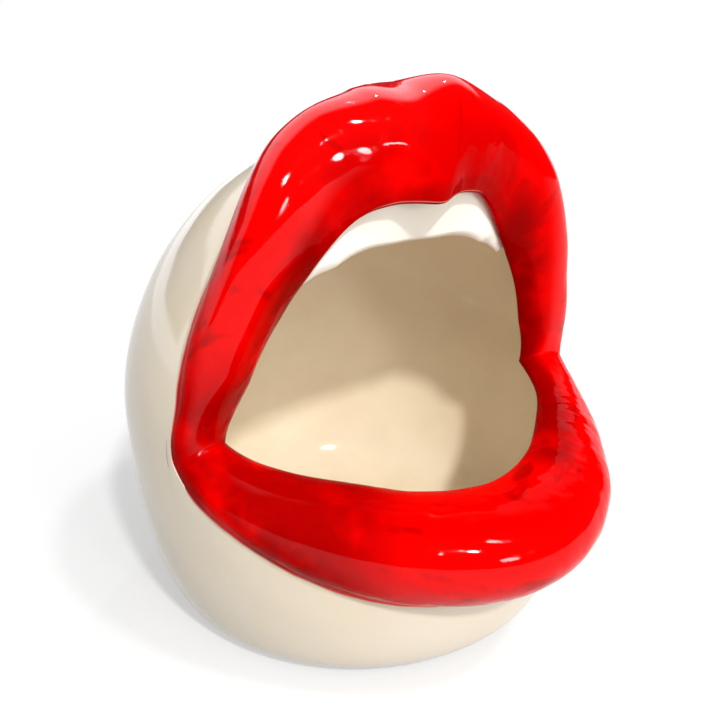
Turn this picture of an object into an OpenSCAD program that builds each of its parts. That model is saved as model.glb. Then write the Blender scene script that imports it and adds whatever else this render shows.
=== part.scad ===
// Open-mouth vessel: a drain-cast ceramic bowl whose slanted opening is rimmed by two full lips,
// with a band of teeth behind the upper one. Lengths are in millimetres, angles in degrees.
//
// The bowl is an egg that stands on a flat foot, and forwards is -Y. The mouth is laid out round
// an axis that leaves the centre of the egg and points up and forwards. Two angles and a depth
// place a point: its clock angle, 0 at the top of the mouth and growing towards +X, its reach,
// the angle between it and the mouth's axis, and how far it lies below the egg's surface.

/* [Bowl] */
// Radius of the egg at its widest level
bowl_r = 95; // [88:1:102]
// Height of the widest level above the table
belly_h = 87; // [81:1:94]
// Rise of the crown above the widest level
crown_rise = 103; // [95:1:112]
// Radius to which the sides come in at the table, before the heel is rounded
base_r = 77; // [72:1:82]
// Fullness of the egg above its widest level, where 2 is an ellipse
crown_fullness = 1.85; // [1.7:0.05:2.1]
// Fullness of the egg below its widest level
belly_fullness = 2.3; // [2.1:0.1:2.6]
// Thickness of the cast wall
wall = 5; // [3.5:0.5:6]
// Radius of the flat part of the inner floor
floor_r = 45; // [38:1:54]

/* [Foot] */
// Radius of the bare foot
foot_r = 66; // [60:1:70]
// Height by which the foot lifts the glaze off the table
foot_h = 1.5; // [1:0.5:4]

/* [Mouth] */
// Tilt of the mouth's axis above the level
mouth_tilt = 40; // [34:1:46]
// Clock angle of the corners, where the lips meet
corner_angle = 100; // [96:1:106]
// Clock angle of the two peaks of the cupid's bow
peak_angle = 15; // [11:1:20]
// Clock angle at which the upper lip's free edge turns up on each side of the middle
hump_angle = 22; // [18:1:27]

/* [Lips] */
// Height of the upper lip's roll at the peaks of the bow
upper_bulge = 34; // [28:1:38]
// Drop of the roll in the middle of the bow
bow_dip = 3; // [1:0.5:6]
// Height by which the peak on the +X side rises above the roll, and the other stays below it
peak_skew = 1; // [0:0.2:2]
// Height of the roll at the corners
corner_bulge = 9; // [7:1:12]
// Height of the lower lip's roll in the middle
lower_bulge = 32; // [26:1:36]
// Drop of the tubercle, the point in the middle of the upper lip's free edge
tubercle_drop = 8; // [3:1:10]
// Clock angle of the tubercle, a little off the middle
tubercle_angle = 3; // [0:1:5]
// Depth of the free edges below the egg's surface beside the corners
edge_drop = 23; // [20:1:26]

/* [Teeth] */
// Thickness of the band of teeth at its free edge
teeth_thick = 6; // [4:0.5:8]
// Depth of the free edge below the egg's surface in the middle
teeth_depth = 25; // [21:1:28]
// Depth of the free edge below the egg's surface at the ends of the band
teeth_end_depth = 16; // [13:1:19]
// Clock angle at which the band ends on each side
teeth_half_angle = 63; // [55:1:66]

/* [Hidden] */
// Sections along the upper lip and the lower one, and panels across a roll, down the bowl's side
// and round its heel
upper_steps = 48;
lower_steps = 40;
roll_steps = 12;
side_steps = 12;
heel_steps = 5;

// Stations that shape the lips, from the middle of the bow to the middle of the lower lip
stations = [0, peak_angle, 34, 62, 88, corner_angle, 130, 152, 180];
root_reach = [47, 48, 52.5, 57, 71, 81, 74, 70, 68];
edge_depth = edge_drop * [0.3, 0.3, 0.3, 0.7, 1, 0.91, 1, 0.83, 0.65];
bulge = concat(
    [upper_bulge - bow_dip],
    upper_bulge * [1, 0.91, 0.79, 0.43],
    [corner_bulge],
    lower_bulge * [0.53, 0.81, 1]
);
lean = [0.03, -0.02, 0, 0, 0, 0, 0, -0.02, -0.02];

// The free edge turns sharply at the corner, so it is laid out on each side of it
upper_stations = [0, hump_angle, 34, 62, 88, corner_angle];
upper_edge_reach = [25.5, 26.8, 29.4, 39, 62, 79.5];
lower_stations = [corner_angle, 130, 152, 180];
lower_edge_reach = [79.5, 59, 51, 47];
tubercle_half_angle = 21; // clock angle by which the tubercle spreads to each side
tubercle_from = 0.65; // share of the roll past which it hangs
edge_rounding = 0.45; // radius of the free edge's two corners, as a share of the wall

// Free edge of the teeth
teeth_stations = [0, 25, 50, 58, 63];
teeth_reach = [25.2, 26.1, 32.8, 39, 42];

// Sharpness with which the outside and the inside turn into the flat underside and floor
heel_power = 26;
floor_power = 12;
heel_angle = -36; // angle below the level, seen from the centre, at which the heel starts

centre = [0, 0, belly_h];
mouth_axis = [0, -cos(mouth_tilt), sin(mouth_tilt)];
mouth_up = [0, sin(mouth_tilt), cos(mouth_tilt)];
belly_depth = belly_h / pow(1 - pow(base_r / bowl_r, belly_fullness), 1 / belly_fullness);
floor_h = foot_h + wall;

function unit(v) = v / norm(v);

// Value at x of a smooth curve through vals at keys. A level end has no slope there.
function slope(keys, vals, i, level_start, level_end) =
    let (last = len(keys) - 1)
    i == 0 ? (level_start ? 0 : (vals[1] - vals[0]) / (keys[1] - keys[0]))
    : i == last ? (level_end ? 0 : (vals[last] - vals[last - 1]) / (keys[last] - keys[last - 1]))
    : (vals[i + 1] - vals[i - 1]) / (keys[i + 1] - keys[i - 1]);
function span_of(keys, x, i = 0) = i == len(keys) - 2 || x < keys[i + 1] ? i : span_of(keys, x, i + 1);
function smooth(keys, vals, x, level_start = true, level_end = true) =
    let (
        i = span_of(keys, x),
        h = keys[i + 1] - keys[i],
        t = min(max((x - keys[i]) / h, 0), 1),
        a = slope(keys, vals, i, level_start, level_end) * h,
        b = slope(keys, vals, i + 1, level_start, level_end) * h
    )
    (2 * pow(t, 3) - 3 * pow(t, 2) + 1) * vals[i] + (pow(t, 3) - 2 * pow(t, 2) + t) * a
    + (3 * pow(t, 2) - 2 * pow(t, 3)) * vals[i + 1] + (pow(t, 3) - pow(t, 2)) * b;

// Step from 0 to 1, level at both ends
function ease(t) = let (k = min(max(t, 0), 1)) k * k * (3 - 2 * k);

// Distance from the centre to the egg's surface in the direction d
function egg(d) =
    let (
        up = d[2] > 0,
        rise = up ? crown_rise : belly_depth,
        p = up ? crown_fullness : belly_fullness
    )
    pow(pow(norm([d[0], d[1]]) / bowl_r, p) + pow(abs(d[2]) / rise, p), -1 / p);

// The same, inset by depth and rounded into the level plane at height h
function skin(d, depth, h, power) =
    let (free = egg(d) - depth)
    d[2] >= 0 ? free : pow(pow(free, -power) + pow(-d[2] / (belly_h - h), power), -1 / power);

// A plane through the mouth's axis holds each section. Its points are [along the axis, off it].
function spoke(clock) = sin(clock) * [1, 0, 0] + cos(clock) * mouth_up;
function in_space(clock, p) = centre + p[0] * mouth_axis + p[1] * spoke(clock);
function on_egg(clock, reach, depth = 0) =
    let (d = cos(reach) * mouth_axis + sin(reach) * spoke(clock))
    (egg(d) - depth) * [cos(reach), sin(reach)];
function across(v) = [-v[1], v[0]];

function folded(clock) = abs(clock > 180 ? 360 - clock : clock);
function edge_reach(s) = s < corner_angle
    ? smooth(upper_stations, upper_edge_reach, s, true, false)
    : smooth(lower_stations, lower_edge_reach, s, false, true);
function bulge_at(clock) = smooth(stations, bulge, folded(clock))
    + sign(clock) * peak_skew * ease(1 - abs(abs(clock) - peak_angle) / peak_angle);
function root_at(clock, depth = 0) = on_egg(clock, smooth(stations, root_reach, folded(clock)), depth);
// Outer side of the roll at a clock angle: half an ellipse on the chord from root to free edge,
// whose last stretch hangs down by drop in the middle of the bow
function roll_line(clock, drop) =
    let (
        s = folded(clock),
        root = root_at(clock),
        edge = on_egg(clock, edge_reach(s), smooth(stations, edge_depth, s)),
        chord = edge - root,
        out = across(unit(chord)) * bulge_at(clock),
        k = smooth(stations, lean, s),
        hang = drop * ease(1 - abs(clock - tubercle_angle) / tubercle_half_angle) * unit(chord)
    )
    [for (j = [0:roll_steps]) let (u = 180 * j / roll_steps)
        root + chord * ((1 - cos(u)) / 2 + k * pow(sin(u), 2)) + out * sin(u)
        + hang * ease((j / roll_steps - tubercle_from) / (1 - tubercle_from))];

// One side of the roll's wall, from the bowl's rim to the middle of the rounded free edge. Its
// inner side, where side is -1, is one wall inside the outer one. A rounding of 0 leaves the
// edge square.
function roll_side(clock, side, drop = tubercle_drop, rounding = edge_rounding) =
    let (
        line = roll_line(clock, drop),
        last = unit(line[roll_steps] - line[roll_steps - 1]),
        r = rounding * min(wall, norm(line[roll_steps] - line[roll_steps - 1])),
        middle = line[roll_steps] - last * r - across(last) * wall / 2
    )
    [
        root_at(clock, side > 0 ? 0 : wall),
        for (j = [1:roll_steps - 1])
            line[j] + (side - 1) / 2 * wall * across(unit(line[j + 1] - line[j - 1])),
        for (a = [0, 45, 90])
            middle + side * across(last) * (wall / 2 - r + r * cos(a)) + last * r * sin(a)
    ];

upper_clocks = [for (i = [0:upper_steps]) corner_angle * (2 * i / upper_steps - 1)];
lower_clocks = [for (i = [0:lower_steps]) corner_angle + (360 - 2 * corner_angle) * i / lower_steps];
rim_clocks = concat(upper_clocks, [for (i = [1:lower_steps - 1]) lower_clocks[i]]);

// A closed solid between two skins with the same rows and columns. It goes all the way round
// and is capped at its last column, or it has two end faces. With a row ahead and its columns
// running down, skin is on the right and back on the left.
module shell(skin, back, ring = false, caps = []) {
    rows = len(skin);
    cols = len(skin[0]);
    skin_size = rows * cols;
    spans = ring ? rows : rows - 1;
    function o(i, j) = (i % rows) * cols + j;
    function n(i, j) = skin_size + o(i, j);
    function quad(a, b, c, d) = [[a, b, c], [a, c, d]];
    faces = [
        for (i = [0:spans - 1]) each [
            for (j = [0:cols - 2]) each concat(
                quad(o(i, j), o(i, j + 1), o(i + 1, j + 1), o(i + 1, j)),
                quad(n(i, j), n(i + 1, j), n(i + 1, j + 1), n(i, j + 1))
            ),
            each quad(o(i, 0), o(i + 1, 0), n(i + 1, 0), n(i, 0)),
            each ring
                ? [
                    [o(i, cols - 1), 2 * skin_size, o(i + 1, cols - 1)],
                    [n(i, cols - 1), n(i + 1, cols - 1), 2 * skin_size + 1]
                ]
                : quad(o(i, cols - 1), n(i, cols - 1), n(i + 1, cols - 1), o(i + 1, cols - 1))
        ],
        if (!ring) for (j = [0:cols - 2]) each concat(
            quad(o(0, j), n(0, j), n(0, j + 1), o(0, j + 1)),
            quad(o(rows - 1, j), o(rows - 1, j + 1), n(rows - 1, j + 1), n(rows - 1, j))
        )
    ];
    polyhedron([for (row = skin) each row, for (row = back) each row, each caps], faces);
}

// One line down the bowl's wall, from the lips' root over the heel to the circle of radius r at
// height h. Down the side it follows the great circle to the heel's top at its own clock angle.
function compass(clock, pitch) = [cos(pitch) * sin(clock), cos(pitch) * cos(clock), sin(pitch)];
function between(start, stop, k) =
    let (turn = acos(start * stop))
    (sin((1 - k) * turn) * start + sin(k * turn) * stop) / sin(turn);
function bowl_line(clock, depth, r, h, power) =
    let (
        start = unit(in_space(clock, root_at(clock)) - centre),
        foot_pitch = -atan((belly_h - h) / r),
        side = [for (k = [1:side_steps]) between(start, compass(clock, heel_angle), k / side_steps)],
        heel = [for (k = [1:heel_steps - 1])
            compass(clock, heel_angle + (foot_pitch - heel_angle) * k / heel_steps)]
    )
    [
        in_space(clock, root_at(clock, depth)),
        for (d = concat(side, heel)) centre + d * skin(d, depth, h, power),
        [r * sin(clock), r * cos(clock), h]
    ];

module bowl() {
    color("cornsilk")
        shell(
            [for (c = rim_clocks) bowl_line(c, 0, foot_r, foot_h, heel_power)],
            [for (c = rim_clocks) bowl_line(c, wall, floor_r, floor_h, floor_power)],
            ring = true,
            caps = [[0, 0, foot_h], [0, 0, floor_h]]
        );
}

module foot() {
    color("tan") cylinder(r = foot_r, h = foot_h, $fn = 180);
}

module lip(clocks) {
    color("red")
        shell(
            [for (c = clocks) [for (p = roll_side(c, -1)) in_space(c, p)]],
            [for (c = clocks) [for (p = roll_side(c, 1)) in_space(c, p)]]
        );
}

module upper_lip() {
    lip(upper_clocks);
}

module lower_lip() {
    lip(lower_clocks);
}

// Section of the band of teeth. Its front lies against the inner side of the upper lip, as if the
// tubercle weren't there, and goes on past the lip's edge to a round free edge. Both sides have
// the same number of points.
function teeth_side(clock, front) =
    let (
        seat = roll_side(clock, -1, 0),
        edge = roll_side(clock, -1, 0, 0)[roll_steps],
        share = ease(abs(clock) / teeth_half_angle),
        depth = teeth_depth + (teeth_end_depth - teeth_depth) * share,
        low = on_egg(clock, smooth(teeth_stations, teeth_reach, abs(clock)), depth),
        down = unit(low - edge),
        back = -across(down),
        tip_r = teeth_thick / 2,
        tip = low + (back - down) * tip_r,
        side = front ? -back : back,
        inset = front ? [0, 0] : back * teeth_thick
    )
    [
        seat[roll_steps - 1] + inset,
        seat[roll_steps] + inset,
        edge + inset,
        (edge + inset + tip + side * tip_r) / 2,
        for (a = [0, 35, 70]) tip + (side * cos(a) + down * sin(a)) * tip_r
    ];

module teeth() {
    clocks = [for (c = upper_clocks) if (abs(c) <= teeth_half_angle) c];
    color("ivory")
        shell(
            [for (c = clocks) [for (p = teeth_side(c, false)) in_space(c, p)]],
            [for (c = clocks) [for (p = teeth_side(c, true)) in_space(c, p)]]
        );
}

bowl();
foot();
upper_lip();
lower_lip();
teeth();
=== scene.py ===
"""Looks of the open-mouth vessel: its glazed bowl, the two rolled lips, the band of teeth, the foot.

Everything is laid out as in the solid model, but the middle of the upper lip rolls lower and wider
here, and the teeth reach further down. Forwards is -Y. The mouth lies round an axis that leaves
the centre of the egg and points up and forwards. Three values place a point: a clock angle, 0 at
the top of the mouth and growing towards +X, a reach, which is the angle from the axis, and a depth
below the egg. A section of a lip lies in the plane of one clock angle, as
Vector((along the axis, off it)).
"""
import bisect
import math

import bmesh
import bpy
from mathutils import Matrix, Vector, noise


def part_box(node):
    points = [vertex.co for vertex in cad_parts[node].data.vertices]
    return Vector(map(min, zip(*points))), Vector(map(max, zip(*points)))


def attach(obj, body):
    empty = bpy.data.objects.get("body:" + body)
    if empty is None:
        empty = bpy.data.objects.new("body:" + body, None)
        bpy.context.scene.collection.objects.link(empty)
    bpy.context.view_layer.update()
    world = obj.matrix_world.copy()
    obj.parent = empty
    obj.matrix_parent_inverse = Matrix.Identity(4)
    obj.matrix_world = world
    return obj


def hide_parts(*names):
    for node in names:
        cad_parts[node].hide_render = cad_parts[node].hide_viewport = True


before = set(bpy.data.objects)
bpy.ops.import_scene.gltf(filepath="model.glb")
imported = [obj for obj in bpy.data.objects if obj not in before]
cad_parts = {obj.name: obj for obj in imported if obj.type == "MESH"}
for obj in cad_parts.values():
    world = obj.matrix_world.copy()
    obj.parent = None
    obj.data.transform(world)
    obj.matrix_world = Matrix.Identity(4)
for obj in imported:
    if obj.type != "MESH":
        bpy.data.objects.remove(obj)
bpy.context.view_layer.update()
MM = 0.001

# The egg and its foot
BOWL_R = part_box("bowl")[1].x
FOOT_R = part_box("foot")[1].x
FOOT_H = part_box("foot")[1].z
BELLY_H = 87 * MM
CROWN_RISE = 103 * MM
BASE_R = 77 * MM
CROWN_FULLNESS = 1.85
BELLY_FULLNESS = 2.3
WALL = 5 * MM
HEEL_POWER = 26
HEEL_ANGLE = -36
FLOOR_POWER = 12
FOOT_SINK = 0.5 * MM
FOOT_SOFT = 0.6 * MM

# The mouth and its lips: angles in degrees
MOUTH_TILT = 40
CORNER_ANGLE = 100
PEAK_ANGLE = 15
UPPER_BULGE = 31 * MM
BOW_DIP = 3.6 * MM
PEAK_SKEW = 1.6 * MM
BOW_FADE = 0.7
BOW_FADE_FROM = 0.42
BOW_FADE_OVER = 0.3
CORNER_BULGE = 9 * MM
LOWER_BULGE = 32 * MM
EDGE_DROP = 23 * MM
STATIONS = [0, PEAK_ANGLE, 34, 62, 88, CORNER_ANGLE, 130, 152, 180]
ROOT_REACH = [52, 50, 50.5, 56.5, 71, 81, 74, 70, 68]
EDGE_DEPTH = [EDGE_DROP * k for k in (0.1, 0.1, 0.12, 0.68, 1, 0.91, 1, 0.83, 0.65)]
BULGE = [*(UPPER_BULGE * k for k in (1, 1, 0.93, 0.89, 0.49)), CORNER_BULGE,
         *(LOWER_BULGE * k for k in (0.53, 0.81, 1))]
LEAN = [-0.02, -0.02, -0.06, 0, 0, 0, 0, -0.02, -0.02]
UPPER_STATIONS = [0, 22, 34, 62, 88, CORNER_ANGLE]
UPPER_EDGE_REACH = [22.4, 23.4, 26.6, 38.9, 62, 79.5]
LOWER_STATIONS = [CORNER_ANGLE, 130, 152, 180]
LOWER_EDGE_REACH = [79.5, 59, 51, 47]
TUBERCLE_DROP = 7 * MM
TUBERCLE_ANGLE = -1
TUBERCLE_HALF_ANGLE = 24
TUBERCLE_FROM = 0.65
FLARE = 4 * MM
FLARE_SINK = 0.06 * MM

# The band of teeth
TEETH_STATIONS = [0, 25, 50, 58, 63]
TEETH_REACH = [22.9, 23.8, 30.5, 36.7, 39.7]
TEETH_DEPTH = 25 * MM
TEETH_END_DEPTH = 16 * MM
TEETH_THICK = 6 * MM
TEETH_HALF_ANGLE = 63
TEETH_SEAT = 9 * MM
TEETH_SQUARENESS = 1.6
TEETH_END_ROUND = 5
TEETH_END_SHORT = 0.4

# Rows round the mouth, and columns across each stretch of a section
UPPER_ROWS = 270
LOWER_ROWS = 210
BOWL_ROWS = 360
TEETH_ROWS = 200
HEEL_COLS = 60
SIDE_COLS = 50
FLARE_COLS = 10
OUTER_COLS = 52
EDGE_COLS = 12
INNER_COLS = 30
TEETH_FRONT_COLS = 16
TEETH_EDGE_COLS = 24
FOOT_SIDES = 180
FOOT_RINGS = 6
FOOT_RING = 9 * MM
WELD = 1e-7

# Unevenness of the casting: the size and height of each layer, and where its noise starts
BOWL_UNEVEN = [(50 * MM, 0.5 * MM, 1), (21 * MM, 0.16 * MM, 5)]
LIP_UNEVEN = [(34 * MM, 0.7 * MM, 3), (12 * MM, 0.2 * MM, 9)]
TEETH_UNEVEN = [(30 * MM, 0.35 * MM, 12)]
RIM_CLEAR = 12 * MM
RIM_STILL = 0.6
FOOT_CLEAR = 6 * MM
FOOT_CLEAR_OVER = 14 * MM

CENTRE = Vector((0, 0, BELLY_H))
MOUTH_AXIS = Vector((0, -math.cos(math.radians(MOUTH_TILT)), math.sin(math.radians(MOUTH_TILT))))
MOUTH_UP = Vector((0, math.sin(math.radians(MOUTH_TILT)), math.cos(math.radians(MOUTH_TILT))))
BELLY_DEPTH = BELLY_H / (1 - (BASE_R / BOWL_R) ** BELLY_FULLNESS) ** (1 / BELLY_FULLNESS)


# ---------------------------------------------------------------- the form

def smooth(keys, values, x, level_start=True, level_end=True):
    """Value at x of a smooth curve through the values. A level end has no slope there."""
    last = len(keys) - 1
    i = min(max(bisect.bisect_right(keys, x) - 1, 0), last - 1)

    def slope(k):
        if k == 0:
            return 0 if level_start else (values[1] - values[0]) / (keys[1] - keys[0])
        if k == last:
            return 0 if level_end else (values[-1] - values[-2]) / (keys[-1] - keys[-2])
        return (values[k + 1] - values[k - 1]) / (keys[k + 1] - keys[k - 1])

    step = keys[i + 1] - keys[i]
    t = min(max((x - keys[i]) / step, 0), 1)
    start = (2 * t ** 3 - 3 * t ** 2 + 1) * values[i] + (t ** 3 - 2 * t ** 2 + t) * slope(i) * step
    end = (3 * t ** 2 - 2 * t ** 3) * values[i + 1] + (t ** 3 - t ** 2) * slope(i + 1) * step
    return start + end


def folded(clock):
    """The clock angle from 0 to 180 that has the same section, as both halves are alike."""
    turned = abs(clock) % 360
    return 360 - turned if turned > 180 else turned


def egg(way):
    """Distance from the centre to the egg's surface along a unit vector."""
    rise, power = (CROWN_RISE, CROWN_FULLNESS) if way.z > 0 else (BELLY_DEPTH, BELLY_FULLNESS)
    return ((way.xy.length / BOWL_R) ** power + (abs(way.z) / rise) ** power) ** (-1 / power)


def skin(way, depth, level, power):
    """The same, inset by depth and rounded into the flat at that level."""
    free = egg(way) - depth
    if way.z >= 0:
        return free
    return (free ** -power + (-way.z / (BELLY_H - level)) ** power) ** (-1 / power)


def ease(t):
    """Step from 0 to 1, level at both ends."""
    t = min(max(t, 0), 1)
    return t * t * (3 - 2 * t)


def spoke(clock):
    """The way off the mouth's axis at a clock angle."""
    turn = math.radians(clock)
    return Vector((math.sin(turn), 0, 0)) + math.cos(turn) * MOUTH_UP


def in_space(clock, p):
    """A section's point in space."""
    return CENTRE + p.x * MOUTH_AXIS + p.y * spoke(clock)


def on_egg(clock, reach, depth=0.0):
    """The section's point at that reach, on the egg or at a depth below it."""
    turn = math.radians(reach)
    way = math.cos(turn) * MOUTH_AXIS + math.sin(turn) * spoke(clock)
    return (egg(way) - depth) * Vector((math.cos(turn), math.sin(turn)))


def across(v):
    """The unit vector a quarter turn from v, which points outwards where v runs round a roll."""
    return Vector((-v.y, v.x)).normalized()


def root_reach(clock):
    return smooth(STATIONS, ROOT_REACH, folded(clock))


def edge_reach(clock):
    s = folded(clock)
    if s < CORNER_ANGLE:
        return smooth(UPPER_STATIONS, UPPER_EDGE_REACH, s, True, False)
    return smooth(LOWER_STATIONS, LOWER_EDGE_REACH, s, False, True)


def bow(clock):
    """How far the crest of the upper lip's roll stands off an even one: lower in the middle of the
    bow, lower at its peak on the -X side and higher at the other."""
    side = ease(1 - abs(abs(clock) - PEAK_ANGLE) / PEAK_ANGLE)
    middle = ease(1 - abs(clock) / PEAK_ANGLE)
    return math.copysign(PEAK_SKEW * side, clock) - BOW_DIP * middle


class Roll:
    """The roll of a lip at one clock angle: half an ellipse from its root to its free edge, whose
    last stretch hangs down by drop at the tubercle."""
    STEPS = 120
    NUDGE = 0.01

    def __init__(self, clock, drop=TUBERCLE_DROP):
        s = folded(clock)
        self.root = on_egg(clock, root_reach(clock))
        edge = on_egg(clock, edge_reach(clock), smooth(STATIONS, EDGE_DEPTH, s))
        self.chord = edge - self.root
        self.out = across(self.chord)
        self.bulge = smooth(STATIONS, BULGE, s)
        self.bow = bow(clock)
        self.lean = smooth(STATIONS, LEAN, s)
        share = ease(1 - abs(clock - TUBERCLE_ANGLE) / TUBERCLE_HALF_ANGLE)
        self.hang = drop * share * self.chord.normalized()
        self.turns = [math.pi * j / self.STEPS for j in range(self.STEPS + 1)]
        points = [self.at(u) for u in self.turns]
        self.lengths = [0.0]
        for a, b in zip(points, points[1:]):
            self.lengths.append(self.lengths[-1] + (b - a).length)
        self.length = self.lengths[-1]

    def at(self, u):
        share = (1 - math.cos(u)) / 2 + self.lean * math.sin(u) ** 2
        low = ease((u / math.pi - TUBERCLE_FROM) / (1 - TUBERCLE_FROM))
        bowed = 1 - BOW_FADE * ease((u / math.pi - BOW_FADE_FROM) / BOW_FADE_OVER)
        height = (self.bulge + self.bow * bowed) * math.sin(u)
        return self.root + self.chord * share + self.out * height + self.hang * low

    def normal(self, u):
        return across(self.at(u + self.NUDGE) - self.at(u - self.NUDGE))

    def turn_at(self, length):
        i = min(max(bisect.bisect_right(self.lengths, length) - 1, 0), self.STEPS - 1)
        step = self.lengths[i + 1] - self.lengths[i]
        return self.turns[i] + (length - self.lengths[i]) / step * (self.turns[1] - self.turns[0])

    def wall_point(self, length, side):
        """A point of the wall: side is 1 outside, -1 inside and between them round the edge."""
        u = self.turn_at(length)
        normal = self.normal(u)
        return self.at(u) + (side - 1) * WALL / 2 * normal


def lip_section(clock):
    """The closed section of a lip: from its flare on the bowl, over the roll and round the free
    edge, back along the inside and down into the bowl's wall. Each point comes with a mark, which
    grows from -1 to 0 along the flare, to 1 down the outer side, to 2 round the free edge and to 3
    along the inside."""
    roll = Roll(clock)
    start = roll.wall_point(FLARE, 1)
    flare_reach = root_reach(clock) + math.degrees(FLARE / BOWL_R)
    foot = on_egg(clock, flare_reach, FLARE_SINK)
    section = [(on_egg(clock, flare_reach, WALL / 2), -1.0)]
    for k in range(FLARE_COLS):
        t = k / FLARE_COLS
        point = (1 - t) ** 2 * foot + 2 * t * (1 - t) * roll.root + t ** 2 * start
        section.append((point, t - 1))
    tip = WALL / 2
    for k in range(OUTER_COLS):
        length = FLARE + (roll.length - tip - FLARE) * k / OUTER_COLS
        section.append((roll.wall_point(length, 1), k / OUTER_COLS))
    for k in range(EDGE_COLS + 1):
        turn = math.pi * k / EDGE_COLS
        length = roll.length - tip + tip * math.sin(turn)
        section.append((roll.wall_point(min(length, roll.length), math.cos(turn)), 1 + k / EDGE_COLS))
    for k in range(1, INNER_COLS):
        length = (roll.length - tip) * (1 - k / INNER_COLS)
        section.append((roll.wall_point(length, -1), 2 + k / INNER_COLS))
    section.append((on_egg(clock, root_reach(clock), WALL), 3.0))
    return section


# ---------------------------------------------------------------- meshes

def placed_grid(rows, cols, place):
    """A grid whose rows are laid on place(row), a list of points with their marks."""
    bm = bmesh.new()
    bm.loops.layers.uv.new("run")
    bmesh.ops.create_grid(bm, x_segments=rows, y_segments=cols, size=0.5, calc_uvs=True)
    mark = bm.verts.layers.float.new("mark")
    turn = bm.verts.layers.float.new("clock")
    laid = [place(i) for i in range(rows + 1)]
    for v in bm.verts:
        i, j = round((v.co.x + 0.5) * rows), round((v.co.y + 0.5) * cols)
        clock, points = laid[i]
        v.co, v[mark] = points[j]
        v[turn] = clock
    return bm


def finish_mesh(bm, name, material, nodes, normals=None):
    """Makes a piece of a bmesh and seats it in the frame in place of its CAD nodes."""
    mesh = bpy.data.meshes.new(name)
    bm.to_mesh(mesh)
    bm.free()
    mesh.shade_smooth()
    if normals:
        mesh.normals_split_custom_set_from_vertices(normals)
    piece = bpy.data.objects.new(name, mesh)
    bpy.context.scene.collection.objects.link(piece)
    mesh.materials.append(material)
    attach(piece, "root")
    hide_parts(*nodes)


def wander(point, size, height, seed):
    """Gentle unevenness of a hand-finished casting."""
    return height * noise.noise(point / size + Vector((seed, 2.3 * seed, -seed)))


def roughen(bm, layers, weight=None):
    """Moves each point along its normal by the unevenness of a casting."""
    bm.normal_update()
    moves = []
    for v in bm.verts:
        share = weight(v) if weight else 1.0
        moves.append(v.normal * share * sum(wander(v.co, *layer) for layer in layers))
    for v, move in zip(bm.verts, moves):
        v.co += move


def bowl_row(clock):
    """One line of the bowl, from under its foot, up its outside to the rim, and down inside, with a
    mark of 0 outside and 1 inside."""
    rim = (in_space(clock, on_egg(clock, root_reach(clock))) - CENTRE).normalized()
    heel_top = math.radians(HEEL_ANGLE)
    bottom = math.radians(-90)

    def compass(pitch):
        turn = math.radians(clock)
        level = Vector((math.sin(turn), math.cos(turn), 0))
        return math.cos(pitch) * level + Vector((0, 0, math.sin(pitch)))

    def side(k):
        stop = compass(heel_top)
        turn = rim.angle(stop)
        return (math.sin((1 - k) * turn) * rim + math.sin(k * turn) * stop) / math.sin(turn)

    ways = [compass(bottom + (heel_top - bottom) * k / HEEL_COLS) for k in range(HEEL_COLS)]
    ways += [side(1 - k / SIDE_COLS) for k in range(SIDE_COLS + 1)]
    outside = [(CENTRE + w * skin(w, 0, FOOT_H, HEEL_POWER), 0.0) for w in ways]
    inside = [(CENTRE + w * skin(w, WALL, FOOT_H + WALL, FLOOR_POWER), 1.0) for w in ways]
    return outside + inside[::-1]


def make_bowl(material):
    clocks = [360 * i / BOWL_ROWS for i in range(BOWL_ROWS + 1)]
    rows = [(c, bowl_row(c)) for c in clocks]
    bm = placed_grid(BOWL_ROWS, len(rows[0][1]) - 1, lambda i: rows[i])
    bmesh.ops.remove_doubles(bm, verts=bm.verts, dist=WELD)
    bmesh.ops.recalc_face_normals(bm, faces=bm.faces)

    def weight(v):
        """No unevenness at the rim, where the lips are seated, or under the foot."""
        clock = v[bm.verts.layers.float["clock"]]
        rim = in_space(clock, on_egg(clock, root_reach(clock)))
        low = min(max((v.co.z - FOOT_CLEAR) / FOOT_CLEAR_OVER, 0), 1)
        return min(max((v.co - rim).length / RIM_CLEAR - RIM_STILL, 0), 1) * low

    roughen(bm, BOWL_UNEVEN, weight)
    finish_mesh(bm, "bowl_casting", material, ["bowl"])


def make_lip(name, clocks, material, node):
    """A lip over those clock angles. A row past each end gives the end the other lip's normals."""
    sides = [2 * clocks[0] - clocks[1], *clocks, 2 * clocks[-1] - clocks[-2]]
    rows = [(c, lip_section(c)) for c in sides]
    rows = [(c, [(in_space(c, p), m) for p, m in row]) for c, row in rows]
    rows = [(c, row + row[:1]) for c, row in rows]
    bm = placed_grid(len(sides) - 1, len(rows[0][1]) - 1, lambda i: rows[i])
    bmesh.ops.remove_doubles(bm, verts=bm.verts, dist=WELD)
    bmesh.ops.recalc_face_normals(bm, faces=bm.faces)
    mark = bm.verts.layers.float["mark"]
    turn = bm.verts.layers.float["clock"]

    def weight(v):
        return min(max((v[mark] + 1) / 1.5, 0), 1) if v[mark] < 2 else max(3 - v[mark], 0)

    def own(v):
        return clocks[0] - 1e-6 <= v[turn] <= clocks[-1] + 1e-6

    roughen(bm, LIP_UNEVEN, weight)
    bm.normal_update()
    normals = [v.normal.copy() for v in bm.verts if own(v)]
    bmesh.ops.delete(bm, geom=[v for v in bm.verts if not own(v)], context="VERTS")
    open_edges = [e for e in bm.edges if e.is_boundary]
    bmesh.ops.holes_fill(bm, edges=open_edges, sides=0)
    finish_mesh(bm, name, material, [node], normals)


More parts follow.
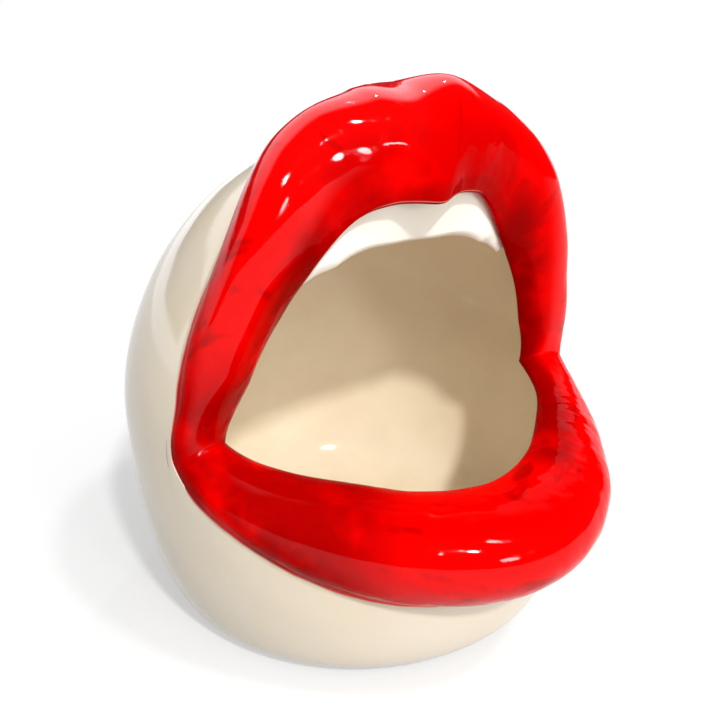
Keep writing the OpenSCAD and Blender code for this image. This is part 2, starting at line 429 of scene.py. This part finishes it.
def teeth_section(clock):
    """The closed section of the band: down its front from behind the lip, round its free edge and
    up its back. Towards its ends it gets shorter, which rounds their corners."""
    roll = Roll(clock, 0)
    share = ease(abs(clock) / TEETH_HALF_ANGLE)
    depth = TEETH_DEPTH + (TEETH_END_DEPTH - TEETH_DEPTH) * share
    low = on_egg(clock, smooth(TEETH_STATIONS, TEETH_REACH, abs(clock)), depth)
    edge = roll.wall_point(roll.length, -1)
    end = max(TEETH_END_ROUND - (TEETH_HALF_ANGLE - abs(clock)), 0) / TEETH_END_ROUND
    low = edge.lerp(low, TEETH_END_SHORT + (1 - TEETH_END_SHORT) * math.sqrt(1 - end ** 2))
    down = (low - edge).normalized()
    back = -across(down)
    half = TEETH_THICK / 2
    tip = low + (back - down) * half
    seat = [roll.wall_point(roll.length - TEETH_SEAT * k, -1) for k in (1, 0.66, 0.33)]
    stop = tip - back * half
    front = seat + [edge.lerp(stop, k / TEETH_FRONT_COLS) for k in range(TEETH_FRONT_COLS)]
    round_edge = []
    for k in range(TEETH_EDGE_COLS + 1):
        turn = math.pi * k / TEETH_EDGE_COLS
        x, y = -math.cos(turn), math.sin(turn)
        square = (abs(x) ** TEETH_SQUARENESS + y ** TEETH_SQUARENESS) ** (-1 / TEETH_SQUARENESS)
        round_edge.append(tip + (back * x + down * y) * square * half)
    section = front + round_edge + [p + back * TEETH_THICK for p in front[::-1]]
    return [(p, k / len(section)) for k, p in enumerate(section)]


def make_teeth(material):
    turns = [math.pi * (i / TEETH_ROWS - 0.5) for i in range(TEETH_ROWS + 1)]
    clocks = [TEETH_HALF_ANGLE * math.sin(turn) for turn in turns]
    rows = [(c, teeth_section(c)) for c in clocks]
    rows = [(c, [(in_space(c, p), m) for p, m in row + row[:1]]) for c, row in rows]
    bm = placed_grid(TEETH_ROWS, len(rows[0][1]) - 1, lambda i: rows[i])
    bmesh.ops.remove_doubles(bm, verts=bm.verts, dist=WELD)
    bmesh.ops.holes_fill(bm, edges=[e for e in bm.edges if e.is_boundary], sides=0)
    bmesh.ops.recalc_face_normals(bm, faces=bm.faces)
    roughen(bm, TEETH_UNEVEN)
    finish_mesh(bm, "teeth_band", material, ["teeth"])


def make_foot(material):
    """The bare foot: a disc with a softened edge, sunk a little into the bowl's underside."""
    bm = bmesh.new()
    bmesh.ops.create_circle(bm, cap_ends=True, cap_tris=False, segments=FOOT_SIDES, radius=FOOT_R)
    made = bmesh.ops.extrude_face_region(bm, geom=bm.faces[:])
    rise = [v for v in made["geom"] if isinstance(v, bmesh.types.BMVert)]
    bmesh.ops.translate(bm, verts=rise, vec=(0, 0, FOOT_H + FOOT_SINK))
    bmesh.ops.recalc_face_normals(bm, faces=bm.faces)
    rim = [e for e in bm.edges if all(v.co.z < 1e-6 for v in e.verts)]
    bmesh.ops.bevel(bm, geom=rim, offset=FOOT_SOFT, segments=3, profile=0.5, affect="EDGES",
                    material=-1)
    caps = [f for f in bm.faces if len(f.verts) > 4]
    for _ in range(FOOT_RINGS):
        bmesh.ops.inset_individual(bm, faces=caps, thickness=FOOT_RING)
    finish_mesh(bm, "foot_face", material, ["foot"])


# ---------------------------------------------------------------- finishes

class Sock:
    """A shader value that can be used in Python arithmetic."""

    def __init__(self, tree, socket):
        self.tree = tree
        self.socket = socket

    def _math(self, operation, *values):
        return self.tree.node("ShaderNodeMath", {"operation": operation}, values)

    def __add__(self, other):
        return self._math("ADD", self, other)

    def __sub__(self, other):
        return self._math("SUBTRACT", self, other)

    def __rsub__(self, other):
        return self._math("SUBTRACT", other, self)

    def __mul__(self, other):
        return self._math("MULTIPLY", self, other)

    def __rmul__(self, other):
        return self._math("MULTIPLY", other, self)

    def least(self, other):
        return self._math("MINIMUM", self, other)

    def most(self, other):
        return self._math("MAXIMUM", self, other)

    def __abs__(self):
        return self._math("ABSOLUTE", self)

    def ease(self, low, high):
        """0 below low, 1 above high, and smooth between them."""
        settings = {"interpolation_type": "SMOOTHSTEP"}
        return self.tree.node("ShaderNodeMapRange", settings, {"Value": self, 1: low, 2: high})


class Finish:
    """A material's nodes."""

    def __init__(self, name):
        self.material = bpy.data.materials.new(name)
        self.material.use_nodes = True
        self.use(self.material.node_tree)

    @classmethod
    def of(cls, tree):
        """The same for a node tree that has no material, such as the world's."""
        made = cls.__new__(cls)
        made.use(tree)
        return made

    def use(self, tree):
        self.nodes = tree.nodes
        self.links = tree.links
        self.nodes.clear()

    def node(self, kind, settings=None, values=(), out=0):
        """Adds a node with its settings first and then the values or links of its sockets."""
        made = self.nodes.new(kind)
        for key, value in (settings or {}).items():
            setattr(made, key, value)
        pairs = values.items() if isinstance(values, dict) else enumerate(values)
        for key, value in pairs:
            if isinstance(value, Sock):
                self.links.new(value.socket, made.inputs[key])
            else:
                made.inputs[key].default_value = value
        return Sock(self, made.outputs[out])

    def place(self):
        return self.node("ShaderNodeTexCoord", out="Object")

    def vector(self, x, y, z):
        return self.node("ShaderNodeCombineXYZ", None, {"X": x, "Y": y, "Z": z})

    def attribute(self, name):
        return self.node("ShaderNodeAttribute", {"attribute_name": name}, out="Fac")

    def noise(self, at, scale, detail, rough):
        values = {"Vector": at, "Scale": scale, "Detail": detail, "Roughness": rough}
        return self.node("ShaderNodeTexNoise", {"noise_dimensions": "3D"}, values)

    def mix(self, share, a, b):
        values = {0: share, 6: a, 7: b}
        return self.node("ShaderNodeMix", {"data_type": "RGBA"}, values, out=2)

    def bump(self, height, distance):
        values = {"Strength": 1.0, "Distance": distance, "Height": height}
        return self.node("ShaderNodeBump", None, values)

    def surface(self, **values):
        values = {key.replace("_", " "): value for key, value in values.items()}
        shader = self.node("ShaderNodeBsdfPrincipled", None, values)
        out = self.nodes.new("ShaderNodeOutputMaterial")
        self.links.new(shader.socket, out.inputs["Surface"])
        return self.material


def rgb(red, green, blue):
    """A colour as it looks on the screen, from 0 to 255, as the shader's linear one."""
    def linear(c):
        c = c / 255
        return c / 12.92 if c <= 0.04045 else ((c + 0.055) / 1.055) ** 2.4
    return (linear(red), linear(green), linear(blue), 1.0)


def cream_colour(f):
    """Cream glaze: faint clouds where it lies thicker, and a few fine specks."""
    at = f.place()
    clouds = f.noise(at, 22, 4, 0.6).ease(0.35, 0.7)
    # Painted light and shade: the inside is painted lighter and warmer than the outside, for the
    # brighter, warmer light within the bowl; the same glaze lies on both
    inside = f.attribute("mark").least(1)
    base = f.mix(inside, rgb(225, 213, 193), rgb(243, 229, 203))
    base = f.mix(clouds * 0.35, base, rgb(224, 206, 176))
    specks = f.noise(at, 900, 1, 0.4).ease(0.76, 0.82) * f.noise(at, 60, 1, 0.5).ease(0.5, 0.6)
    return f.mix(specks * 0.35, base, rgb(176, 150, 112))


def cream_glaze():
    """Cream glaze over the whole bowl, with faint waves in its surface."""
    f = Finish("cream_glaze")
    at = f.place()
    rough = f.noise(at, 40, 3, 0.5).ease(0.3, 0.8) * 0.06 + 0.07
    waves = f.noise(at, 70, 2, 0.4)
    normal = f.bump(waves, 0.00025)
    return f.surface(Base_Color=cream_colour(f), Roughness=rough, Normal=normal, IOR=1.5)


def brush_marks(f, mark, clock, upper, patches):
    """1 in the brush marks: short ones across the upper lip, long ones along the lower lip."""
    short = f.vector(clock * 0.2, mark * 2.0, 0.0)
    long = f.vector(clock * 0.06, mark * 9.0, 7.0)
    strokes = f.noise(short, 1.0, 2, 0.6) * upper + f.noise(long, 1.0, 2, 0.6) * (1 - upper)
    return strokes.ease(0.48, 0.66) * patches.ease(0.4, 0.6)


def painted_shade(mark, clock, upper, limb, patches):
    """Painted shade on the red, in noise patches: down the front of the upper lip, at its free edge,
    on the inner side of the limbs, and in the corner on the -X side and under it."""
    low = mark.ease(0.45, 0.75) * upper * (1 - limb) * 0.5
    edge = mark.ease(0.84, 0.96) * upper * 0.65
    within = mark.ease(0.55, 0.85) * limb * 0.85
    corner = clock.ease(205, 228).most((-1 * clock).ease(78, 96)) * 0.8
    return low.most(edge).most(within).most(corner) * patches.ease(0.25, 0.55)


def red_glaze():
    """Red glaze brushed over the cream one: dark where the brush left it heavy, darker in painted
    shade, worn thin at both of its borders, and paler along the middle's free edge."""
    f = Finish("red_glaze")
    mark = f.attribute("mark")
    clock = f.attribute("clock")
    at = f.place()
    wobble = f.noise(at, 55, 2, 0.5)
    patches = f.noise(at, 38, 3, 0.6)
    upper = 1 - clock.ease(CORNER_ANGLE - 1, CORNER_ANGLE + 1)
    middle = 1 - abs(clock).ease(26, 36)
    limb = abs(clock).ease(38, 60) * (1 - abs(clock).ease(150, 165))
    # Its borders: on the bowl, and inside the lips, but at the free edge in the upper lip's middle
    outside = mark + wobble * 0.3
    inside = mark + wobble * 0.1 - (2.12 - middle * 0.5)
    cover = outside.ease(-0.5, -0.42) * (1 - inside.ease(-0.03, 0.03))
    # Painted shade, in noise patches: darker red down the front of the upper lip, at its free edge,
    # on the limbs' inner sides and in the -X corner
    shade_mask = painted_shade(mark, clock, upper, limb, patches)
    # The red darkens in the glaze's own brush marks and in the painted shade
    dark = (brush_marks(f, mark, clock, upper, patches) * 0.6).most(shade_mask).least(1)
    red = f.mix(dark, rgb(224, 0, 0), rgb(128, 0, 0))
    thin_out = 1 - abs(outside + 0.4).ease(0.02, 0.1)
    thin_in = 1 - abs(inside + 0.1).ease(0.04, 0.14)
    rim = (1 - abs(mark - 1.1).ease(0.01, 0.05)) * middle * upper
    thin = (thin_out * 0.6).most(thin_in * 0.6).most(rim * 0.7)
    red = f.mix(thin, red, rgb(244, 140, 122))
    colour = f.mix(cover, cream_colour(f), red)
    ripples = f.noise(at, 60, 3, 0.5) + f.noise(at, 120, 1, 0.5) * 0.7
    normal = f.bump(ripples, 0.0007)
    rough = patches.ease(0.3, 0.8) * 0.03 + 0.03
    # The clear coat lies over the crest of the roll, and reaches lower on the upper lip's -X half
    crest_end = (1 - clock.ease(-8, 6)) * upper * 0.18 + 0.5
    crest = mark.ease(0.12, 0.3) * (1 - (mark - crest_end).ease(0, 0.15)) * (1 - limb * 0.6)
    coat = crest * (upper * 0.5 + 0.35)
    return f.surface(Base_Color=colour, Roughness=rough, Normal=normal, IOR=1.5,
                     Specular_IOR_Level=0.015, Coat_Weight=coat, Coat_Roughness=0.04)


def ivory_glaze():
    """Ivory glaze of the teeth, a little uneven in tone and gloss."""
    f = Finish("ivory_glaze")
    at = f.place()
    clouds = f.noise(at, 30, 3, 0.5).ease(0.3, 0.7)
    colour = f.mix(clouds, rgb(250, 248, 234), rgb(246, 242, 224))
    rough = f.noise(at, 50, 2, 0.5) * 0.06 + 0.07
    normal = f.bump(f.noise(at, 70, 2, 0.4), 0.0002)
    return f.surface(Base_Color=colour, Roughness=rough, Normal=normal, IOR=1.5)


def bare_clay():
    """Unglazed clay of the foot, matt and grainy."""
    f = Finish("bare_clay")
    at = f.place()
    grain = f.noise(at, 1400, 4, 0.7)
    tone = f.noise(at, 30, 3, 0.6).ease(0.3, 0.75)
    colour = f.mix(tone, rgb(214, 204, 186), rgb(196, 182, 158))
    normal = f.bump(grain, 0.00015)
    return f.surface(Base_Color=colour, Roughness=grain * 0.1 + 0.8, Normal=normal)


# ---------------------------------------------------------------- camera, floor and light

CAMERA_TURN = -34.2
CAMERA_RISE = 21.7
CAMERA_AIM = Vector((0.25, 0, 96.8)) * MM
CAMERA_BACK = 383.7 * MM
FOCUS_PER_BACK = 2.4253
FRAME_PX = 720
SENSOR = 36

# The floor, in metres: its own colour, and the glow that the camera and the glosses see in it
FLOOR_HALF = 6
FLOOR_WHITE = 0.42
FLOOR_GLOW = 0.46
# The room's soft light: the way to it, and how brightly the room fills from there and from elsewhere
SOFT_LIGHT = (0, 42)
FILL_NEAR = 1.65
FILL_FAR = 0.15
# The room in a gloss: dark in front and bright behind, but for a dark band between two levels that
# ends short of the -X side
GLOSS_DARK = 0.04
GLOSS_BRIGHT = 1.8
BAND_LEVELS = (0.125, 0.385)
BAND_END = -0.7
COOL_TINT = (0.93, 0.94, 1, 1)
WHITE = (1, 1, 1, 1)


def direction(turn, rise):
    """The way from the object towards a place round it, as a turn from -Y towards +X and a rise,
    in degrees."""
    turn, rise = math.radians(turn), math.radians(rise)
    level = Vector((math.sin(turn), -math.cos(turn), 0))
    return level * math.cos(rise) + Vector((0, 0, math.sin(rise)))


def make_camera():
    """The camera. Its focus in pixels is told for each mm of its distance from the object."""
    back = direction(CAMERA_TURN, CAMERA_RISE)
    data = bpy.data.cameras.new("camera")
    data.sensor_width = SENSOR
    focus_px = FOCUS_PER_BACK * CAMERA_BACK / MM
    data.lens = focus_px / FRAME_PX * SENSOR
    data.clip_start = 0.01
    camera = bpy.data.objects.new("camera", data)
    camera.location = CAMERA_AIM + back * CAMERA_BACK
    camera.rotation_euler = back.to_track_quat("Z", "Y").to_euler()
    bpy.context.scene.collection.objects.link(camera)
    bpy.context.scene.camera = camera


def make_lamp(name, turn, rise, width, strength):
    """A distant round lamp of that width in degrees. A strength of 1 lights a white face that is
    turned to it fully."""
    data = bpy.data.lights.new(name, "SUN")
    data.angle = math.radians(width)
    data.energy = strength * math.pi
    lamp = bpy.data.objects.new(name, data)
    lamp.rotation_euler = direction(turn, rise).to_track_quat("Z", "Y").to_euler()
    bpy.context.scene.collection.objects.link(lamp)


def seen_directly(f):
    """1 for what the camera sees, and then 1 for what shows in a gloss or through glass."""
    path = f.nodes.new("ShaderNodeLightPath")
    rays = ("Is Camera Ray", "Is Glossy Ray", "Is Transmission Ray")
    camera, gloss, through = (Sock(f, path.outputs[name]) for name in rays)
    return camera, gloss.most(through)


def make_floor():
    """A pale floor that keeps the shadow, and glows only to the camera and in glosses."""
    bm = bmesh.new()
    bmesh.ops.create_grid(bm, x_segments=8, y_segments=8, size=FLOOR_HALF)
    mesh = bpy.data.meshes.new("floor")
    bm.to_mesh(mesh)
    bm.free()
    floor = bpy.data.objects.new("floor", mesh)
    bpy.context.scene.collection.objects.link(floor)
    f = Finish("floor")
    camera, gloss = seen_directly(f)
    white = (FLOOR_WHITE, FLOOR_WHITE, FLOOR_WHITE, 1)
    base = f.node("ShaderNodeBsdfDiffuse", None, {"Color": white})
    glow = f.node("ShaderNodeEmission", None, {"Color": WHITE, "Strength": FLOOR_GLOW})
    both = f.node("ShaderNodeAddShader", None, [base, glow])
    shader = f.node("ShaderNodeMixShader", None, [camera.most(gloss), base, both])
    out = f.nodes.new("ShaderNodeOutputMaterial")
    f.links.new(shader.socket, out.inputs["Surface"])
    mesh.materials.append(f.material)


def make_world():
    """White to the camera, the room to a gloss, and soft light from the front to all else."""
    world = bpy.data.worlds.new("studio")
    bpy.context.scene.world = world
    world.use_nodes = True
    f = Finish.of(world.node_tree)
    camera, gloss = seen_directly(f)
    way = f.node("ShaderNodeTexCoord", out="Generated")
    parts = f.nodes.new("ShaderNodeSeparateXYZ")
    f.links.new(way.socket, parts.inputs[0])
    right, back, up = (Sock(f, parts.outputs[axis]) for axis in "XYZ")
    bottom, top = (up.ease(level - 0.02, level + 0.02) for level in BAND_LEVELS)
    band = bottom * (1 - top) * right.ease(BAND_END - 0.03, BAND_END + 0.03)
    bright = back.ease(0.1, 0.35) * (1 - band)
    shown = bright * (GLOSS_BRIGHT - GLOSS_DARK) + GLOSS_DARK
    near = f.node("ShaderNodeVectorMath", {"operation": "DOT_PRODUCT"},
                  [way, direction(*SOFT_LIGHT)], out="Value")
    fill = near.ease(0.45, 1.0) * (FILL_NEAR - FILL_FAR) + FILL_FAR
    strength = camera.most(gloss * shown).most((1 - gloss) * fill)
    colour = f.mix(gloss, WHITE, COOL_TINT)
    glow = f.node("ShaderNodeBackground", None, {"Color": colour, "Strength": strength})
    out = f.nodes.new("ShaderNodeOutputWorld")
    f.links.new(glow.socket, out.inputs["Surface"])


make_camera()
make_floor()
make_world()
make_lamp("key", -12, 44, 4, 0.68)
make_lamp("side", 21, 60, 5, 0.25)
make_lamp("window", 4, 17, 8, 0.15)
make_lamp("spark", 18, 23, 2, 0.012)
make_lamp("back", 130, 59, 2, 0.06)
bpy.context.scene.view_settings.view_transform = "Standard"

cream = cream_glaze()
red = red_glaze()
make_bowl(cream)
upper = [CORNER_ANGLE * (2 * i / UPPER_ROWS - 1) for i in range(UPPER_ROWS + 1)]
lower = [CORNER_ANGLE + (360 - 2 * CORNER_ANGLE) * i / LOWER_ROWS for i in range(LOWER_ROWS + 1)]
make_lip("upper_lip_roll", upper, red, "upper_lip")
make_lip("lower_lip_roll", lower, red, "lower_lip")
make_teeth(ivory_glaze())
make_foot(bare_clay())
